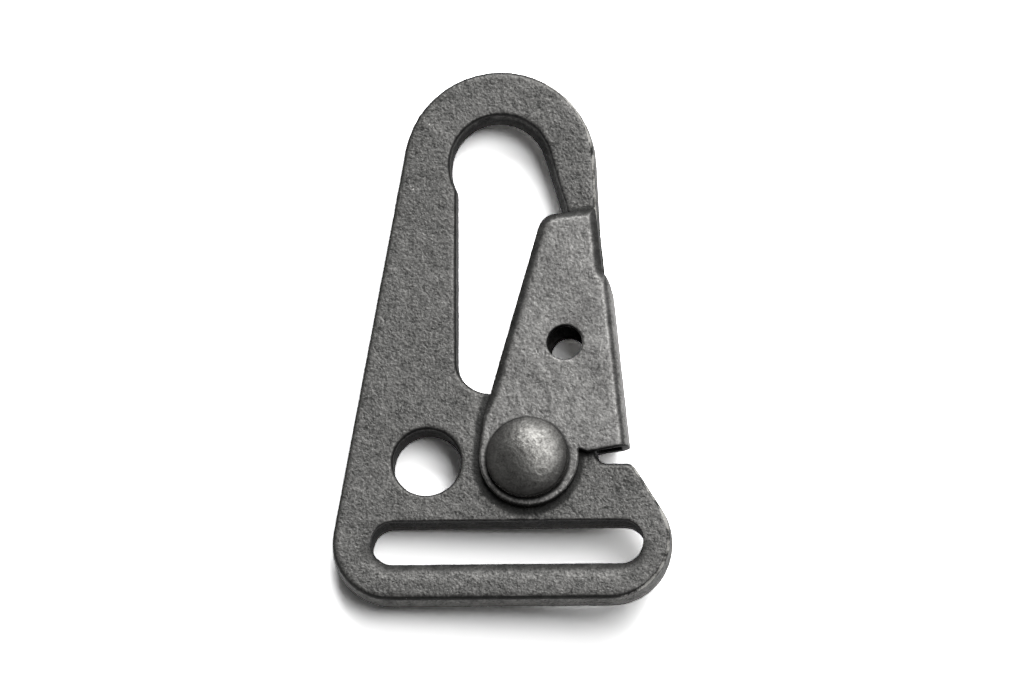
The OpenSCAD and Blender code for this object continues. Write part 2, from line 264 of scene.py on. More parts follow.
def sum_of(
    material: bpy.types.Material,
    parts: list[tuple[bpy.types.NodeSocket, float]],
) -> bpy.types.NodeSocket:
    """Adds values up, each times its factor.

    Args:
        material: The material that gets the nodes.
        parts: The values with their factors.

    Returns:
        The sum.
    """
    total: bpy.types.NodeSocket | None = None
    for value, factor in parts:
        node = add(
            material,
            "ShaderNodeMath",
            settings={"operation": "MULTIPLY_ADD"},
            values={1: factor, 2: 0.0},
            links={0: value} if total is None else {0: value, 2: total},
        )
        total = node.outputs["Value"]
    return total


@dataclass(frozen=True)
class PhosphatedSteel:
    """Steel with a worn phosphate coat: black in recesses and where shade is painted, grey where it wore
    thin, bright on worn edges.

    Attributes:
        name: The finish's name.
        black: Colour of the coat where nothing rubs, also used for the painted shade.
        coat: Colour of the worn coat in the pits of the grain.
        metal: Colour of the worn coat on the high places of the grain.
        bright: Colour of the bare specks and worn edges, partly painted highlight on the lit edges.
        grain_mm: Size of the surface's grain.
        bump_mm: Depth of the grain.
        metallic: Share of bare metal in the worn surface.
        roughness: Mean roughness.
        wear: Amount of bare specks and edges, from 0 to 1.
        pitting: How dark and deep the larger pits are, from 0 to 1.
        fine_mm: Size of the coat's crystals as drawn.
        stain_mm: Width of the stains that handling and storage leave.
        patch_mm: Width of the ragged patches at the border of a rubbed place.
        pit_mm: Width of the larger pits.
        speck_mm: Width of the bare specks.
    """

    name: str
    black: str
    coat: str
    metal: str
    bright: str
    grain_mm: float
    bump_mm: float
    metallic: float
    roughness: float
    wear: float
    pitting: float
    fine_mm: float = 0.2
    stain_mm: float = 4.2
    patch_mm: float = 1.3
    pit_mm: float = 0.62
    speck_mm: float = 0.36

    def build(self) -> bpy.types.Material:
        """Makes the material.

        Returns:
            The material, on Object coordinates and the mesh's wear marks.
        """
        material = bpy.data.materials.new(self.name)
        material.use_nodes = True
        links = material.node_tree.links
        shader = material.node_tree.nodes["Principled BSDF"]
        where = add(material, "ShaderNodeTexCoord").outputs["Object"]
        rubbed, edge = (
            add(material, "ShaderNodeAttribute", settings={"attribute_name": mark.value}).outputs["Fac"]
            for mark in (Mark.WEAR_AND_SHADE, Mark.EDGE)
        )

        # The blasted and tumbled skin: grain about the size of shot, in waves, which breaks the light up into
        # a dull sparkle, on stains a few millimetres wide. The coat's crystals are about 0.02 mm and too fine
        # to show, so they are drawn ten times as coarse.
        grain = noise(material, where, self.grain_mm, detail=1.6, roughness=0.6)
        wave = noise(material, where, self.grain_mm * 3.6, detail=2.0, roughness=0.6)
        fine = noise(material, where, self.fine_mm, detail=1.0, roughness=0.6)
        stain = noise(material, where, self.stain_mm, detail=3.0, roughness=0.55)
        patch = noise(material, where, self.patch_mm, detail=2.0, roughness=0.5)

        tone = sum_of(material, [(grain, 0.38), (fine, 0.22), (wave, 0.2), (stain, 0.2)])
        skin = ramp(material, tone, [(0.37, self.coat), (0.63, self.metal)])
        pit = noise(material, where, self.pit_mm, detail=2.5, roughness=0.6)
        pit = spread(material, pit, 0.33, 0.42, 1.0, 0.0)
        skin = mixed(material, sum_of(material, [(pit, self.pitting)]), skin, self.black)
        # Black coat where nothing rubs, and painted shade in recesses, on walls and edge flanks, beside the
        # gate and round the domed head, with a ragged border.
        border = sum_of(material, [(rubbed, 1.0), (patch, 0.5)])
        reach = spread(material, border, 0.25, 1.2, 0.0, 1.0)
        skin = mixed(material, reach, self.black, skin)

        # Bare metal: specks on the high grain, and edges that wore through in places, partly painted
        # highlight on the lit side.
        speck = noise(material, where, self.speck_mm, detail=2.0, roughness=0.6)
        speck = spread(material, speck, 0.76 - 0.07 * self.wear, 0.8, 0.0, 0.6)
        worn = sum_of(material, [(edge, 0.95), (patch, 0.9), (fine, 0.35), (stain, 0.5)])
        rim = spread(material, worn, 1.32 - 0.1 * self.wear, 1.55 - 0.1 * self.wear, 0.0, 0.75)
        bare = add(
            material,
            "ShaderNodeMath",
            settings={"operation": "MAXIMUM"},
            links={0: speck, 1: rim},
        ).outputs["Value"]
        skin = mixed(material, bare, skin, self.bright)
        links.new(skin, shader.inputs["Base Color"])
        metallic = spread(material, reach, 0.0, 1.0, self.metallic * 0.5, self.metallic)
        links.new(metallic, shader.inputs["Metallic"])
        # The rough coat has little gloss at its rim, where bare metal would flare.
        shader.inputs["Specular Tint"].default_value = linear("c4c4c4")
        dull = spread(material, reach, 0.0, 1.0, 0.22, 0.1)
        rough = sum_of(material, [(grain, -0.2), (bare, -0.12), (dull, 1.0)])
        rough = spread(material, rough, -0.3, 0.3, self.roughness - 0.3, self.roughness + 0.3)
        links.new(rough, shader.inputs["Roughness"])

        height = sum_of(material, [(grain, 1.0), (wave, 1.2), (pit, -0.5 * self.pitting)])
        bump = add(
            material,
            "ShaderNodeBump",
            values={"Strength": 1.0, "Distance": mm(self.bump_mm)},
            links={"Height": height},
        )
        links.new(bump.outputs["Normal"], shader.inputs["Normal"])
        return material


CAST_FRAME = PhosphatedSteel(
    name="cast_steel_phosphated",
    black="2b2b2a",
    coat="3f3f3e",
    metal="868583",
    bright="cfcdc8",
    grain_mm=0.28,
    bump_mm=0.055,
    metallic=0.75,
    roughness=0.5,
    wear=0.8,
    pitting=0.5,
)
TUMBLED_SHEET = PhosphatedSteel(
    name="sheet_steel_phosphated",
    black="232322",
    coat="5e5d5c",
    metal="a09f9d",
    bright="cfcdc9",
    grain_mm=0.3,
    bump_mm=0.04,
    metallic=0.8,
    roughness=0.46,
    wear=0.5,
    pitting=0.4,
)
RUBBED_RIVET = PhosphatedSteel(
    name="rivet_steel_rubbed",
    black="2f2e2d",
    coat="5a5957",
    metal="92918e",
    bright="c9c7c3",
    grain_mm=0.4,
    bump_mm=0.03,
    metallic=0.9,
    roughness=0.38,
    wear=0.2,
    pitting=0.12,
)


@dataclass(frozen=True)
class SpringWire:
    """Drawn and hardened wire: even, slightly glossy grey with faint drawing marks.

    Attributes:
        name: The finish's name.
        colour: Colour of the steel.
        roughness: Mean roughness.
        marks_mm: Width of the drawing marks as drawn: the real ones are too fine to show.
    """

    name: str
    colour: str
    roughness: float
    marks_mm: float = 0.15

    def build(self) -> bpy.types.Material:
        """Makes the material.

        Returns:
            The material, on Object coordinates.
        """
        material = bpy.data.materials.new(self.name)
        material.use_nodes = True
        shader = material.node_tree.nodes["Principled BSDF"]
        where = add(material, "ShaderNodeTexCoord").outputs["Object"]
        marks = noise(material, where, self.marks_mm, detail=2.0)
        shader.inputs["Base Color"].default_value = linear(self.colour)
        shader.inputs["Metallic"].default_value = 1.0
        rough = spread(material, marks, 0.3, 0.7, self.roughness - 0.06, self.roughness + 0.06)
        material.node_tree.links.new(rough, shader.inputs["Roughness"])
        return material


DRAWN_WIRE = SpringWire(name="spring_wire_drawn", colour="9a9b98", roughness=0.35)


# Meshes


def select_only(piece: bpy.types.Object) -> None:
    """Selects one object alone and makes it active."""
    bpy.ops.object.select_all(action="DESELECT")
    piece.select_set(True)
    bpy.context.view_layer.objects.active = piece


def copy_of(node: str, name: str) -> bpy.types.Object:
    """Makes a closed copy of a solid's mesh, whose own triangles are loose.

    Args:
        node: Name of the solid.
        name: Name of the new piece.

    Returns:
        The new piece, with its doubles merged.
    """
    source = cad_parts[node]
    piece = bpy.data.objects.new(name, source.data.copy())
    bpy.context.scene.collection.objects.link(piece)
    piece.matrix_world = source.matrix_world.copy()
    select_only(piece)
    bpy.ops.object.transform_apply(location=True, rotation=True, scale=True)
    bpy.ops.object.mode_set(mode="EDIT")
    bpy.ops.mesh.select_all(action="SELECT")
    bpy.ops.mesh.remove_doubles(threshold=mm(0.002))
    bpy.ops.mesh.normals_make_consistent(inside=False)
    bpy.ops.object.mode_set(mode="OBJECT")
    piece.data.materials.clear()
    return piece


def modify(piece: bpy.types.Object, kind: str, **settings: Any) -> None:
    """Adds a modifier to a piece and applies it.

    Args:
        piece: The piece.
        kind: The modifier's type, such as "REMESH".
        **settings: The modifier's properties.
    """
    select_only(piece)
    modifier = piece.modifiers.new(kind.title(), kind)
    for name, value in settings.items():
        setattr(modifier, name, value)
    bpy.ops.object.modifier_apply(modifier=modifier.name)


def lumps(name: str, size_mm: float, depth: int) -> bpy.types.Texture:
    """Makes a cloud pattern that a Displace modifier can read.

    Args:
        name: The pattern's name.
        size_mm: Size of its lumps.
        depth: Number of finer layers.

    Returns:
        The pattern.
    """
    texture = bpy.data.textures.new(name, "CLOUDS")
    texture.noise_scale = mm(size_mm)
    texture.noise_depth = depth
    return texture


def solid_tree(node: str) -> BVHTree:
    """Makes a solid ready for queries of rays and nearest points.

    Args:
        node: Name of the solid.

    Returns:
        The solid's tree.
    """
    solid = bmesh.new()
    solid.from_mesh(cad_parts[node].data)
    tree = BVHTree.FromBMesh(solid)
    solid.free()
    return tree


def vertex_vectors(mesh: bpy.types.Mesh, name: str) -> np.ndarray:
    """Reads one vector of each vertex.

    Args:
        mesh: The mesh.
        name: What is read, "co" for the places or "normal" for the directions square to the surface.

    Returns:
        One row of x, y and z for each vertex.
    """
    values = np.empty(len(mesh.vertices) * 3)
    mesh.vertices.foreach_get(name, values)
    return values.reshape(-1, 3)


@dataclass
class WearMap:
    """Marks on a piece's mesh: how well handling reaches the surface, where shade is painted into its coat,
    and how far its edges stand out.

    Attributes:
        open_mm: Depth below the piece's hull down to which all is worn.
        deep_mm: Depth below the hull from which nothing is worn and the coat is black, partly kept coat and
            partly painted shade.
        edge_mm: Radius of an edge that counts as fully exposed.
        rounds: Rounds of smoothing of the edge mark.
        slope: Slopes at which a wall starts to count as one, and at which it fully does.
        least_slope: Slope from which the look across to an opposite wall is made.
        flank: Slopes between which an outer edge's flank gets painted shade: from, fully from, fully to, to.
        flank_shade: How dark the painted shade on such a flank is.
        wall_open: How much lighter the walls of openings are drawn below their painted dark edge.
        strap_mm: Half sizes of the place around the origin where a strap rubs the walls of an opening.
        lip_shade_mm: Depths at which such a wall's painted dark edge ends.
        thick_mm: Half thickness of the piece.
        start_mm: Distance from a wall at which the look across starts.
        sight_mm: Length of the look across to an opposite wall.
        rims: Whether edges towards the gate's side are drawn as bare metal, partly wear and partly painted
            highlight, as the lamps light that side.
    """

    open_mm: float = 0.3
    deep_mm: float = 1.0
    edge_mm: float = 0.4
    rounds: int = 4
    slope: tuple[float, float] = (0.4, 0.75)
    least_slope: float = 0.12
    flank: tuple[float, float, float, float] = (0.25, 0.5, 0.96, 0.998)
    flank_shade: float = 1.0
    wall_open: float = 0.0
    strap_mm: tuple[float, float] = (0.0, 0.0)
    lip_shade_mm: tuple[float, float] = (0.35, 0.6)
    thick_mm: float = 2.0
    start_mm: float = 1.4
    sight_mm: float = 30.0
    rims: bool = False

    def hull(self, node: str) -> BVHTree:
        """Makes the convex hull of a solid.

        Args:
            node: Name of the solid.

        Returns:
            The hull, ready for nearest-point queries.
        """
        shell = bmesh.new()
        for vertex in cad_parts[node].data.vertices:
            shell.verts.new(vertex.co)
        bmesh.ops.convex_hull(shell, input=shell.verts, use_existing_faces=False)
        tree = BVHTree.FromBMesh(shell)
        shell.free()
        return tree

    def inward(self, node: str, place: np.ndarray, normal: np.ndarray) -> np.ndarray:
        """Finds the walls of openings, which face another wall of the same solid or the closed gate.

        Args:
            node: Name of the solid.
            place: Places on it.
            normal: Directions square to it there.

        Returns:
            1 on slopes and walls inside an opening, 0 elsewhere.
        """
        trees = [solid_tree(name) for name in sorted({node, "gate"})]
        slope = np.linalg.norm(normal[:, :2], axis=1)
        facing = np.zeros(len(place))
        for number in np.flatnonzero(slope > self.least_slope):
            across = Vector((normal[number, 0], normal[number, 1], 0)).normalized()
            # From halfway down, where the opposite wall is met even if its edge is rounded.
            start = Vector((place[number, 0], place[number, 1], place[number, 2] / 2))
            start += across * mm(self.start_mm)
            if any(tree.ray_cast(start, across, mm(self.sight_mm))[0] is not None for tree in trees):
                facing[number] = 1
        return facing

    def bends(self, mesh: bpy.types.Mesh, place: np.ndarray, normal: np.ndarray) -> np.ndarray:
        """Finds how strongly the surface bends outward, from each vertex's height above its neighbours.

        Args:
            mesh: The mesh.
            place: Its vertices.
            normal: Directions square to it there.

        Returns:
            One over the bend's radius in metres, smoothed along the surface.
        """
        count = len(place)
        pairs = np.empty(len(mesh.edges) * 2, dtype=np.int32)
        mesh.edges.foreach_get("vertices", pairs)
        one, other = pairs.reshape(-1, 2).T
        valence = np.bincount(pairs, minlength=count).clip(1)

        def around(values: np.ndarray) -> np.ndarray:
            """Averages values over each vertex's neighbours."""
            total = np.bincount(one, values[other], count) + np.bincount(other, values[one], count)
            return total / valence

        middle = np.stack([around(place[:, axis]) for axis in range(3)], axis=1)
        step = np.linalg.norm(place[one] - place[other], axis=1).mean()
        bend = -4 * ((middle - place) * normal).sum(axis=1) / step**2
        for _ in range(self.rounds):
            bend = 0.5 * bend + 0.5 * around(bend)
        return bend

    def mark(self, piece: bpy.types.Object, node: str, shade_rule: ShadeRule | None) -> None:
        """Writes both marks on a piece.

        Args:
            piece: The smoothed piece, before its fine unevenness.
            node: The solid that the piece stands for.
            shade_rule: Takes places and normals and returns a share from 0 to 1 that the wear is multiplied
                by; low values lay painted shade.
        """
        mesh = piece.data
        place, normal = vertex_vectors(mesh, "co"), vertex_vectors(mesh, "normal")
        slope = np.linalg.norm(normal[:, :2], axis=1)
        facing = self.inward(node, place, normal)
        inner = facing * np.interp(slope, self.slope, (0, 1))

        # Bare edges only on the side towards the gate, which the lamps also light: partly wear from other
        # hooks and rings knocking there, partly painted highlight.
        lit_gate_side = (normal[:, 0] * 2.5 - 0.2).clip(0, 1)
        bend = self.bends(mesh, place, normal)
        edge = (bend * mm(self.edge_mm)).clip(0, 1) * (1 - facing) * lit_gate_side * self.rims

        # Hands wear what lies near the hull, and deeper places stay black, partly as kept coat and partly as
        # painted shade. The walls of openings are black too, partly painted shade, with a painted dark edge
        # under the lip; below it a strap wears the slot's walls, and elsewhere wall_open lightens them in
        # part.
        tree = self.hull(node)
        depth = np.array([tree.find_nearest(Vector(spot))[3] for spot in place])
        rubbed = 1 - ((depth - mm(self.open_mm)) / mm(self.deep_mm - self.open_mm)).clip(0, 1)
        lip_end, lip_clear = self.lip_shade_mm
        deep = mm(self.thick_mm) - np.abs(place[:, 2]) - mm(lip_end)
        deep = (deep / mm(lip_clear - lip_end)).clip(0, 1)
        strap_x, strap_y = (mm(value) for value in self.strap_mm)
        strapped = (np.abs(place[:, 0]) < strap_x) & (np.abs(place[:, 1]) < strap_y)
        rubbed = np.minimum(rubbed, 1 - inner * (1 - np.where(strapped, 1.0, self.wall_open) * deep))
        flank = np.interp(slope, self.flank, (0, 1, 1, 0))
        # Painted shade: the flanks of outer edges are drawn dark.
        rubbed *= 1 - self.flank_shade * flank * (1 - inner)
        if shade_rule is not None:
            rubbed *= shade_rule(place, normal)
        for kind, values in ((Mark.WEAR_AND_SHADE, rubbed), (Mark.EDGE, edge)):
            layer = mesh.attributes.new(kind.value, "FLOAT", "POINT")
            layer.data.foreach_set("value", values.astype(np.float32))


@dataclass
class CastSkin:
    """How a solid's plain form gets a worn skin: soft edges, and a surface that is never quite flat.

    Attributes:
        voxel_mm: Size of the new mesh's faces.
        soften: Rounds of smoothing, which rub the edges down.
        swell_mm: Depth of the broad unevenness.
        swell_size_mm: Width of the broad unevenness.
        pit_mm: Depth of the fine unevenness.
        pit_size_mm: Width of the fine unevenness.
        margin_mm: Inward offset that keeps the skin inside the solid.
        layers: Number of finer layers in both kinds of unevenness.
        wear: How the wear marks and the painted shade are made.
    """

    voxel_mm: float
    soften: int
    swell_mm: float
    swell_size_mm: float
    pit_mm: float
    pit_size_mm: float
    margin_mm: float
    layers: int = 2
    wear: WearMap = field(default_factory=WearMap)

    def soft(self, piece: bpy.types.Object) -> None:
        """Remeshes a piece and rubs its edges down.

        Args:
            piece: The closed piece.
        """
        modify(piece, "REMESH", mode="VOXEL", voxel_size=mm(self.voxel_mm), use_smooth_shade=True)
        modify(piece, "SMOOTH", factor=0.5, iterations=self.soften)

    def roughen(self, piece: bpy.types.Object, node: str, shade_rule: ShadeRule | None = None) -> None:
        """Marks a softened piece's wear and painted shade, and makes its surface uneven.

        Args:
            piece: The softened piece.
            node: The solid that the piece stands for.
            shade_rule: Takes places and normals and returns a share from 0 to 1 that the wear is multiplied
                by; low values lay painted shade.
        """
        self.wear.mark(piece, node, shade_rule)
        swell = ("swell", self.swell_size_mm, self.swell_mm)
        pit = ("pit", self.pit_size_mm, self.pit_mm)
        for label, size, depth in (swell, pit):
            modify(
                piece,
                "DISPLACE",
                texture=lumps(f"{piece.name}_{label}", size, self.layers),
                texture_coords="LOCAL",
                direction="NORMAL",
                mid_level=1.0,
                strength=mm(depth),
            )
        modify(piece, "DISPLACE", direction="NORMAL", mid_level=0.0, strength=-mm(self.margin_mm))
        select_only(piece)
        bpy.ops.object.shade_smooth()


def moved(piece: bpy.types.Object, shift: Any) -> None:
    """Moves each vertex of a piece by a rule.

    Args:
        piece: The piece.
        shift: Takes a vertex's place in metres and returns its new place.
    """
    for vertex in piece.data.vertices:
        vertex.co = shift(vertex.co)
    piece.data.update()


# Sub-assemblies


@dataclass
class CastFrame:
    """The one-piece cast frame with its hook, slot, lug and round hole.

    Attributes:
        skin: How the casting's skin is made.
        slot_half_mm: Half length of the webbing slot between its end centres.
        slot_r_mm: Half height of the webbing slot.
        crest_mm: Distance of the bar's crest from the slot.
        crest_drop_mm: Depth by which the slot's edge lies lower than the crest.
        sharpen_mm: How far the slot's edge is drawn in on the faces.
        nose_y_mm: Where the fill of the nose's inner edge ends, is full, and ends again.
        nose_x_mm: Distances across the nose over which the fill fades, at its full height.
        nose_lean: Lean of the nose's inner side.
        nose_fill_mm: How far the nose's inner edge is drawn in on the front.
        half_mm: Half thickness of the frame.
        plate_mm: Height of the middle of the gate's plates.
        cover_and_shadow_mm: Distances from the gate's plates within which the coat is black, as kept coat
            under the gate and painted shadow beside it, and from which it is fully worn.
        shadow_shift_mm: How far the painted shadow reaches out past the gate's inner side and foot, on the
            side away from the lamps.
        least: Least share of wear under the gate and in its painted shadow.
        face_share: Share of the half thickness from which a place belongs to a face.
        bar_shade_share: Share of the crest's distance from the slot over which the painted shade on the bar
            fades.
        bar_shade: How much of the wear the painted shade on the bar's slope towards the slot takes away.
    """

    skin: CastSkin = field(
        default_factory=lambda: CastSkin(
            voxel_mm=0.176,
            soften=3,
            swell_mm=0.05,
            swell_size_mm=2.6,
            pit_mm=0.05,
            pit_size_mm=0.55,
            margin_mm=0.004,
            wear=WearMap(rims=True, wall_open=0.9, strap_mm=(14, 2.6)),
        )
    )
    slot_half_mm: float = 11.25
    slot_r_mm: float = 2.1
    crest_mm: float = 1.9
    crest_drop_mm: float = 0.46
    sharpen_mm: float = 0.3
    nose_y_mm: tuple[float, float, float] = (31.5, 35.5, 43.0)
    nose_x_mm: tuple[float, float] = (6.3, 8.4)
    nose_lean: float = 0.28
    nose_fill_mm: float = 0.3
    half_mm: float = 2.0
    plate_mm: float = 2.545
    cover_and_shadow_mm: tuple[float, float] = (0.4, 0.7)
    shadow_shift_mm: tuple[float, float] = (0.15, 0.2)
    least: float = 0.15
    face_share: float = 0.6
    bar_shade_share: float = 0.75
    bar_shade: float = 0.8

    def crested(self, place: Vector) -> Vector:
        """Sharpens the webbing slot's edge, and lowers the bar towards it, so that the bar has a soft crest.

        Args:
            place: A place on the frame.

        Returns:
            Its new place.
        """
        middle_x = max(-mm(self.slot_half_mm), min(mm(self.slot_half_mm), place.x))
        across, down = place.x - middle_x, -place.y
        reach = math.hypot(across, down)
        if not mm(self.slot_r_mm - 0.4) < reach < mm(self.slot_r_mm + self.crest_mm):
            return place
        near = 1 - max(0.0, (reach - mm(self.slot_r_mm)) / mm(self.crest_mm))
        # From 0 at 45 % of the half thickness to 1 at 95 %.
        high = max(0.0, min(1.0, abs(place.z) / mm(self.half_mm) * 2 - 0.9))
        tight = max(mm(self.slot_r_mm), reach - mm(self.sharpen_mm) * near * high) / reach
        drop = mm(self.crest_drop_mm) * (down / reach) ** 2 * near**2 if down > 0 else 0.0
        return Vector((middle_x + across * tight, -down * tight, place.z * (1 - drop / mm(self.half_mm))))

    def filled_nose(self, place: Vector) -> Vector:
        """Draws the front edge of the nose's inner side in, where the eye runs down from its round end.

        Args:
            place: A place on the frame.

        Returns:
            Its new place.
        """
        low, middle, high = (mm(value) for value in self.nose_y_mm)
        if not low < place.y < high or place.x < 0:
            return place
        along = (place.y - low) / (middle - low) if place.y < middle else (high - place.y) / (high - middle)
        near, far = (mm(value) + (middle - place.y) * self.nose_lean for value in self.nose_x_mm)
        across = max(0.0, min(1.0, (far - place.x) / (far - near)))
        front = max(0.0, min(1.0, place.z / mm(self.half_mm)))
        return place - Vector((mm(self.nose_fill_mm) * across * front * math.sin(along * math.pi / 2), 0, 0))

    def kept_coat_and_shade(self, place: np.ndarray, _: np.ndarray) -> np.ndarray:
        """Tells where the closed gate covers the frame, so that its coat stays whole, and lays a painted
        shadow of the gate beside it and painted shade on the bar's slope.

        Args:
            place: Places on the frame.

        Returns:
            0 under the gate and in its painted shadow close beside it, up to 1 away from it, and less on the
            bar's slope.
        """
        tree = solid_tree("gate")
        low, high = (mm(value) for value in self.cover_and_shadow_mm)
        share = np.ones(len(place))
        side_x, side_y = (mm(value) for value in self.shadow_shift_mm)
        on_face = np.abs(place[:, 2]) > mm(self.face_share * self.half_mm)
        for number in np.flatnonzero(on_face):
            x, y, z = place[number]
            # Painted shadow: the shifted query lays a dark band beside the gate on its left and lower side,
            # away from the lamps.
            spot = Vector((x + side_x, y + side_y, math.copysign(mm(self.plate_mm), z)))
            near = tree.find_nearest(spot, high)[3]
            if near is not None:
                share[number] = max(self.least, (near - low) / (high - low))
        # Painted shade: the bar's slope towards the slot, on the faces below the slot, is drawn darker.
        middle_x = place[:, 0].clip(-mm(self.slot_half_mm), mm(self.slot_half_mm))
        reach = np.hypot(place[:, 0] - middle_x, place[:, 1])
        near = 1 - ((reach - mm(self.slot_r_mm)) / mm(self.crest_mm * self.bar_shade_share)).clip(0, 1)
        return share * (1 - self.bar_shade * near * (place[:, 1] < 0) * on_face)

    def build(self) -> bpy.types.Object:
        """Makes and dresses the frame.

        Returns:
            The finished piece.
        """
        piece = copy_of("frame", "cast_frame")
        self.skin.soft(piece)
        moved(piece, self.crested)
        moved(piece, self.filled_nose)
        self.skin.roughen(piece, "frame", self.kept_coat_and_shade)
        piece.data.materials.append(CAST_FRAME.build())
        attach(piece, Body.FRAME.value)
        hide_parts("frame")
        return piece


@dataclass
class FoldedGate:
    """The gate, cut and folded from one sheet, with edges rounded in the tumbler.

    Attributes:
        skin: How the sheet's skin is made.
        pivot_mm: Place of the pivot's axis.
        lean_deg: Lean of the fold.
        web_mm: Distance of the fold from the pivot, inside which the plates' edges are cut.
        plate_in_mm: Height of the plates' inner faces.
        plate_out_mm: Height of the plates' outer faces.
        roll_mm: Width of the rolled edge.
        roll_drop_mm: Depth of the rolled edge.
        lobe_mm: Distance from the pivot within which an edge belongs to the lobe.
        lobe_blend_mm: Distance past the lobe over which its edge becomes the gate's.
        lobe_roll_mm: Width of the lobe's rolled edge.
        cut_share: Shares of the sheet's thickness left off at its inner and outer face to find a cut edge.
        eyelet_mm: Place of the small hole and the distance from it within which nothing is rolled.
        dome_mm: Distance from the pivot of the domed head's edge.
        edge_shade_mm: Width of the painted shade along the rolled cut edges, over which the coat fades.
        lobe_shade_mm: Width of that painted shade on the lobe.
        head_shade_mm: Width of the painted shade around the domed head.
        head_shade_start: Share of that width next to the head that is fully black.
        foot_mm: Height above the pivot, along the fold, below which the foot's edge isn't rolled.
        foot_fade_mm: Distance past the lobe over which the foot's own shift comes in.
        foot_front_mm: How much lower the front plate's foot is than in the solid.
        foot_back_mm: How much higher the back plate's foot is than in the solid.
    """

    skin: CastSkin = field(
        default_factory=lambda: CastSkin(
            voxel_mm=0.124,
            soften=4,
            swell_mm=0.04,
            swell_size_mm=2.2,
            pit_mm=0.03,
            pit_size_mm=0.8,
            margin_mm=0.003,
            wear=WearMap(flank=(0.2, 0.4, 0.62, 0.8), flank_shade=0.7),
        )
    )
    pivot_mm: tuple[float, float] = PIVOT_MM
    lean_deg: float = 6.58
    web_mm: float = 9.4
    plate_in_mm: float = 2.12
    plate_out_mm: float = 2.97
    roll_mm: float = 1.05
    roll_drop_mm: float = 0.5
    lobe_mm: float = 5.1
    lobe_blend_mm: float = 2.5
    lobe_roll_mm: float = 0.2
    cut_share: tuple[float, float] = (0.2, 0.3)
    eyelet_mm: tuple[float, float, float] = (5.571, 19.823, 2.2)
    dome_mm: float = 4.05
    edge_shade_mm: float = 0.7
    lobe_shade_mm: float = 0.05
    head_shade_mm: float = 0.25
    head_shade_start: float = 0.3
    foot_mm: float = 2.6
    foot_fade_mm: float = 0.8
    foot_front_mm: float = 0.6
    foot_back_mm: float = 0.45

    def set_foot(self, place: Vector) -> Vector:
        """Sets the front plate's foot lower than the back plate's.

        Args:
            place: A place on the gate.

        Returns:
            Its new place.
        """
        angle = math.radians(self.lean_deg)
        along = Vector((-math.sin(angle), math.cos(angle), 0))
        offset = Vector((place.x, place.y, 0)) - point(*self.pivot_mm, 0)
        near = max(0.0, min(1.0, (mm(self.foot_mm) - offset.dot(along)) / mm(self.foot_mm)))
        near *= max(0.0, min(1.0, (offset.length - mm(self.lobe_mm)) / mm(self.foot_fade_mm)))
        side = max(-1.0, min(1.0, place.z / mm(self.plate_in_mm)))
        shift = self.foot_front_mm * max(0.0, side) ** 2 - self.foot_back_mm * max(0.0, -side) ** 2
        return place - along * mm(shift) * near

    def cut_edges(self, piece: bpy.types.Object) -> KDTree:
        """Finds the plates' cut edges.

        Args:
            piece: The softened gate.

        Returns:
            Their places, with z at 0, ready for nearest-point queries.
        """
        angle = math.radians(self.lean_deg)
        inner, outer = mm(self.plate_in_mm), mm(self.plate_out_mm)
        across = Vector((math.cos(angle), math.sin(angle), 0))
        along = Vector((-math.sin(angle), math.cos(angle), 0))
        middle, eyelet = point(*self.pivot_mm, 0), point(*self.eyelet_mm[:2], 0)
        low = inner + self.cut_share[0] * (outer - inner)
        high = outer - self.cut_share[1] * (outer - inner)
        rims = []
        for vertex in piece.data.vertices:
            if low < abs(vertex.co.z) < high and abs(vertex.normal.z) < 0.5:
                flat = Vector((vertex.co.x, vertex.co.y, 0))
                offset = flat - middle
                in_foot = offset.length > mm(self.lobe_mm) and offset.dot(along) < mm(self.foot_mm)
                in_eyelet = (flat - eyelet).length < mm(self.eyelet_mm[2])
                if offset.dot(across) < mm(self.web_mm) and not in_foot and not in_eyelet:
                    rims.append(flat)
        tree = KDTree(len(rims))
        for number, rim in enumerate(rims):
            tree.insert(rim, number)
        tree.balance()
        return tree

    def roll_edges(self, piece: bpy.types.Object, tree: KDTree) -> None:
        """Rolls the plates' cut edges down, as the punch and the tumbler do.

        Args:
            piece: The softened gate.
            tree: Its cut edges.
        """
        inner, outer = mm(self.plate_in_mm), mm(self.plate_out_mm)
        middle = point(*self.pivot_mm, 0)

        def rolled(place: Vector) -> Vector:
            """Lowers one place by its distance from the nearest cut edge."""
            height = abs(place.z)
            if height < inner:
                return place
            rim, _, reach = tree.find(Vector((place.x, place.y, 0)))
            past_lobe = (rim - middle).length - mm(self.lobe_mm)
            off_lobe = max(0.0, min(1.0, past_lobe / mm(self.lobe_blend_mm)))
            width = self.lobe_roll_mm + (self.roll_mm - self.lobe_roll_mm) * off_lobe
            near = 1 - reach / mm(width)
            if near <= 0:
                return place
            drop = mm(self.roll_drop_mm * width / self.roll_mm) * near**2
            drop *= min(1.0, (height - inner) / (outer - inner))
            return Vector((place.x, place.y, math.copysign(height - drop, place.z)))

        moved(piece, rolled)

    def kept_coat_and_shade(self, place: np.ndarray, normal: np.ndarray, tree: KDTree) -> np.ndarray:
        """Lays painted shade into the sheet's coat: on the rolled cut edges, close around the domed head, and
        on the foot's downward edges.

        Args:
            place: Places on the gate.
            normal: Directions square to it there.
            tree: Its cut edges.

        Returns:
            0 on the edges, up to 1 a little away from them.
        """
        flat = np.array([(x, y, 0) for x, y, _ in place])
        from_edge = np.array([tree.find(spot)[2] for spot in flat])
        from_pivot = np.linalg.norm(flat[:, :2] - [mm(value) for value in self.pivot_mm], axis=1)
        off_lobe = ((from_pivot - mm(self.lobe_mm)) / mm(self.lobe_blend_mm)).clip(0, 1)
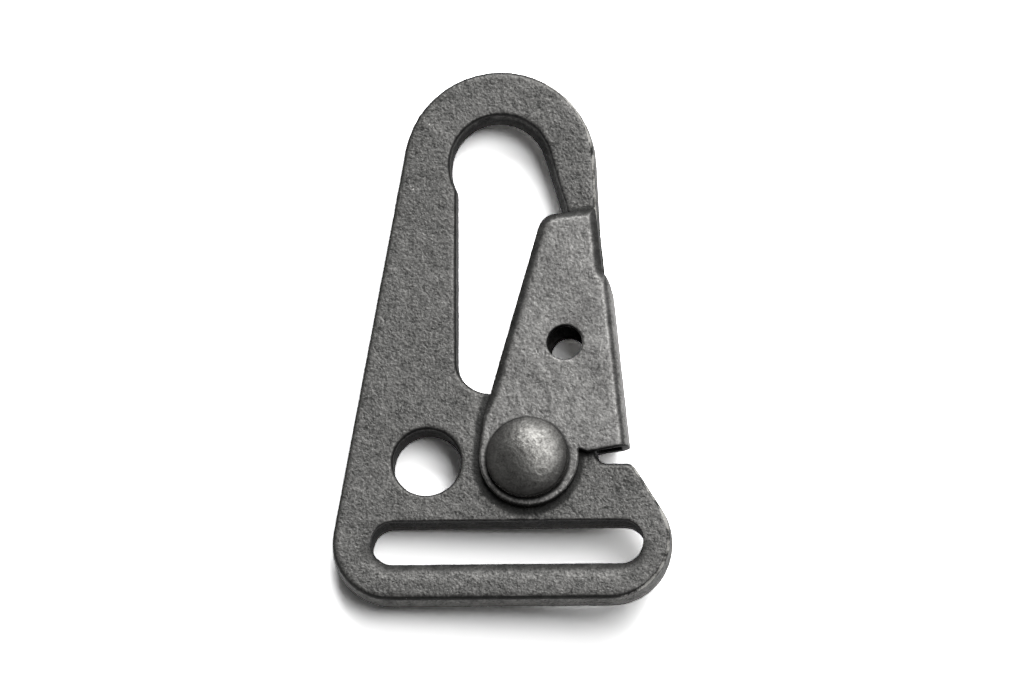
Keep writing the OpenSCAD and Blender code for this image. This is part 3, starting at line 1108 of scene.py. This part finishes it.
        # Painted shade along the rolled cut edges, narrower on the lobe.
        band = mm(self.lobe_shade_mm) + mm(self.edge_shade_mm - self.lobe_shade_mm) * off_lobe
        # Painted shade: a dark ring on the plate close around the domed head.
        beside = (from_pivot - mm(self.dome_mm)) / mm(self.head_shade_mm)
        beside = (beside - self.head_shade_start).clip(0, 1)
        # Painted shade: the foot's edges that face down into the notch are black.
        foot = (normal[:, 1] < -0.5) & (np.abs(normal[:, 2]) < 0.8)
        return np.minimum(from_edge / band, beside).clip(0, 1) * ~foot

    def build(self) -> bpy.types.Object:
        """Makes and dresses the gate.

        Returns:
            The finished piece.
        """
        piece = copy_of("gate", "folded_gate")
        self.skin.soft(piece)
        moved(piece, self.set_foot)
        edges = self.cut_edges(piece)
        self.roll_edges(piece, edges)
        self.skin.roughen(piece, "gate", lambda place, normal: self.kept_coat_and_shade(place, normal, edges))
        piece.data.materials.append(TUMBLED_SHEET.build())
        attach(piece, Body.GATE.value)
        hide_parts("gate")
        return piece


@dataclass
class DomedRivet:
    """The pivot rivet: domed head in front, shank and a formed head behind.

    Attributes:
        skin: How the rivet's skin is made.
    """

    skin: CastSkin = field(
        default_factory=lambda: CastSkin(
            voxel_mm=0.1,
            soften=6,
            swell_mm=0.03,
            swell_size_mm=1.6,
            pit_mm=0.02,
            pit_size_mm=0.5,
            margin_mm=0.003,
        )
    )

    def build(self) -> bpy.types.Object:
        """Makes and dresses the rivet.

        Returns:
            The finished piece.
        """
        piece = copy_of("rivet", "domed_rivet")
        self.skin.soft(piece)
        self.skin.roughen(piece, "rivet")
        piece.data.materials.append(RUBBED_RIVET.build())
        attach(piece, Body.GATE.value)
        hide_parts("rivet")
        return piece


@dataclass
class TorsionSpring:
    """The wire spring around the rivet's shank, which closes the gate.

    Attributes:
        pivot_mm: Place of the coil's axis; not used.
        coil_reach_mm: Half width of the coil; not used.
    """

    pivot_mm: tuple[float, float] = PIVOT_MM
    coil_reach_mm: float = 2.4

    def build(self) -> bpy.types.Object:
        """Makes and dresses the spring.

        Returns:
            The finished piece.
        """
        piece = copy_of("spring", "torsion_spring")
        modify(piece, "SUBSURF", levels=1, render_levels=1)
        select_only(piece)
        bpy.ops.object.shade_smooth()
        piece.data.materials.append(DRAWN_WIRE.build())
        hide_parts("spring")
        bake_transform(piece)
        return piece


# Stage, light and camera


@dataclass(frozen=True)
class SoftLamp:
    """One square soft lamp that faces the hook.

    Attributes:
        name: The lamp's name.
        place_mm: Its place.
        size_mm: Its width.
        watts: Its power.
        aim_mm: The place that it faces.
    """

    name: str
    place_mm: tuple[float, float, float]
    size_mm: float
    watts: float
    aim_mm: tuple[float, float, float] = (0, 20, 0)

    def hang(self) -> None:
        """Hangs the lamp."""
        light = bpy.data.lights.new(self.name, "AREA")
        light.shape = "SQUARE"
        light.size = mm(self.size_mm)
        light.energy = self.watts
        lamp = bpy.data.objects.new(self.name, light)
        bpy.context.scene.collection.objects.link(lamp)
        lamp.location = point(*self.place_mm)
        away = lamp.location - point(*self.aim_mm)
        lamp.rotation_euler = away.to_track_quat("Z", "Y").to_euler()


@dataclass
class Studio:
    """A white table with soft light from above right, and the camera of the photograph.

    Attributes:
        table_up: Direction square to the table: the hook lies on its arm's edge and its rivet's back head.
        table_point_mm: A place where the hook touches the table.
        table_size_mm: Width of the table.
        table_colour: Colour of the table.
        table_gain: How much paler the lit table is to the camera, so that it is white there.
        mirror_gain: How much paler the lit table is in reflections.
        sky: Strength of the even light from all around.
        horizon: Strength of the pale horizon in reflections.
        lamps: The soft lamps, one overhead and one like a window behind the hook.
        camera_right: Direction to the right of the picture.
        camera_towards: Direction from the hook to the camera.
        camera_aim_mm: The place in the middle of the picture.
        camera_away_mm: Distance of the camera from there.
        lens_mm: Focal length.
        sensor_mm: Width of the camera's sensor.
        clip: Distances in metres between which the camera sees.
    """

    table_up: tuple[float, float, float] = (0.104, -0.018, 0.994)
    table_point_mm: tuple[float, float, float] = (-16.7, 0.97, -2.02)
    table_size_mm: float = 4000
    table_colour: str = "f2f2f2"
    table_gain: float = 3.5
    mirror_gain: float = 2.0
    sky: float = 0.03
    horizon: float = 0.5
    lamps: tuple[SoftLamp, ...] = (
        SoftLamp("top_lamp", (800, 420, 1850), 1200, 16),
        SoftLamp("window_lamp", (400, 1720, 1360), 1680, 51),
    )
    camera_right: tuple[float, float, float] = (0.997, 0.0094, -0.0768)
    camera_towards: tuple[float, float, float] = (0.0768, -0.2412, 0.9678)
    camera_aim_mm: tuple[float, float, float] = (0.32, 20.16, 2.0)
    camera_away_mm: float = 3000
    lens_mm: float = 1074.8
    sensor_mm: float = 36
    clip: tuple[float, float] = (0.01, 20)

    def table(self) -> None:
        """Lays the table under the hook."""
        bpy.ops.object.select_all(action="DESELECT")
        bpy.ops.mesh.primitive_plane_add(size=mm(self.table_size_mm))
        plane = bpy.context.active_object
        plane.name = "table"
        up = Vector(self.table_up).normalized()
        turned = up.to_track_quat("Z", "Y").to_matrix().to_4x4()
        plane.data.transform(Matrix.Translation(point(*self.table_point_mm)) @ turned)
        material = bpy.data.materials.new("table_white")
        material.use_nodes = True
        nodes, links = material.node_tree.nodes, material.node_tree.links
        nodes.remove(nodes["Principled BSDF"])
        path = add(material, "ShaderNodeLightPath").outputs
        one = add(material, "ShaderNodeValue").outputs["Value"]
        one.default_value = 1.0
        gain = sum_of(material, [
            (one, 1.0),
            (path["Is Camera Ray"], self.table_gain - 1),
            (path["Is Glossy Ray"], self.mirror_gain - 1),
        ])
        white = add(
            material,
            "ShaderNodeVectorMath",
            settings={"operation": "SCALE"},
            values={0: linear(self.table_colour)[:3]},
            links={"Scale": gain},
        )
        lit = add(material, "ShaderNodeBsdfDiffuse", links={"Color": white.outputs["Vector"]})
        links.new(lit.outputs["BSDF"], nodes["Material Output"].inputs["Surface"])
        plane.data.materials.append(material)

    def world(self) -> None:
        """Sets the light from all around: dim, but white to the camera, and pale low down in reflections."""
        world = bpy.data.worlds.new("studio")
        world.use_nodes = True
        background = world.node_tree.nodes["Background"]
        background.inputs["Color"].default_value = (1, 1, 1, 1)
        where = add(world, "ShaderNodeTexCoord").outputs["Generated"]
        height = add(world, "ShaderNodeSeparateXYZ", links={0: where}).outputs["Z"]
        path = add(world, "ShaderNodeLightPath").outputs
        low = spread(world, height, 0.1, 0.4, self.horizon, 0.0)
        mirrored = add(
            world,
            "ShaderNodeMath",
            settings={"operation": "MULTIPLY"},
            links={0: low, 1: path["Is Glossy Ray"]},
        ).outputs["Value"]
        one = add(world, "ShaderNodeValue").outputs["Value"]
        one.default_value = 1.0
        white = (path["Is Camera Ray"], 1 - self.sky)
        strength = sum_of(world, [(one, self.sky), white, (mirrored, 1.0)])
        world.node_tree.links.new(strength, background.inputs["Strength"])
        bpy.context.scene.world = world

    def camera(self) -> None:
        """Sets the camera, far off as in a long macro shot, to the right of and below the face's normal."""
        right = Vector(self.camera_right).normalized()
        towards = Vector(self.camera_towards).normalized()
        up = towards.cross(right).normalized()
        right = up.cross(towards).normalized()
        data = bpy.data.cameras.new("camera")
        data.sensor_width = self.sensor_mm
        data.lens = self.lens_mm
        data.clip_start, data.clip_end = self.clip
        camera = bpy.data.objects.new("camera", data)
        bpy.context.scene.collection.objects.link(camera)
        place = point(*self.camera_aim_mm) + towards * mm(self.camera_away_mm)
        axes = Matrix((right, up, towards)).transposed().to_4x4()
        camera.matrix_world = Matrix.Translation(place) @ axes
        bpy.context.scene.camera = camera

    def build(self) -> None:
        """Sets up table, lamps, world and camera."""
        self.table()
        for lamp in self.lamps:
            lamp.hang()
        self.world()
        self.camera()
        bpy.context.scene.view_settings.view_transform = "Standard"


def main() -> None:
    """Builds the hook and its studio."""
    logging.basicConfig(level=logging.INFO, format="%(name)s: %(message)s")
    for part in (CastFrame(), FoldedGate(), DomedRivet(), TorsionSpring()):
        piece = part.build()
        LOG.info("%s: %d faces", piece.name, len(piece.data.polygons))
    Studio().build()


if __name__ == "__main__":
    main()
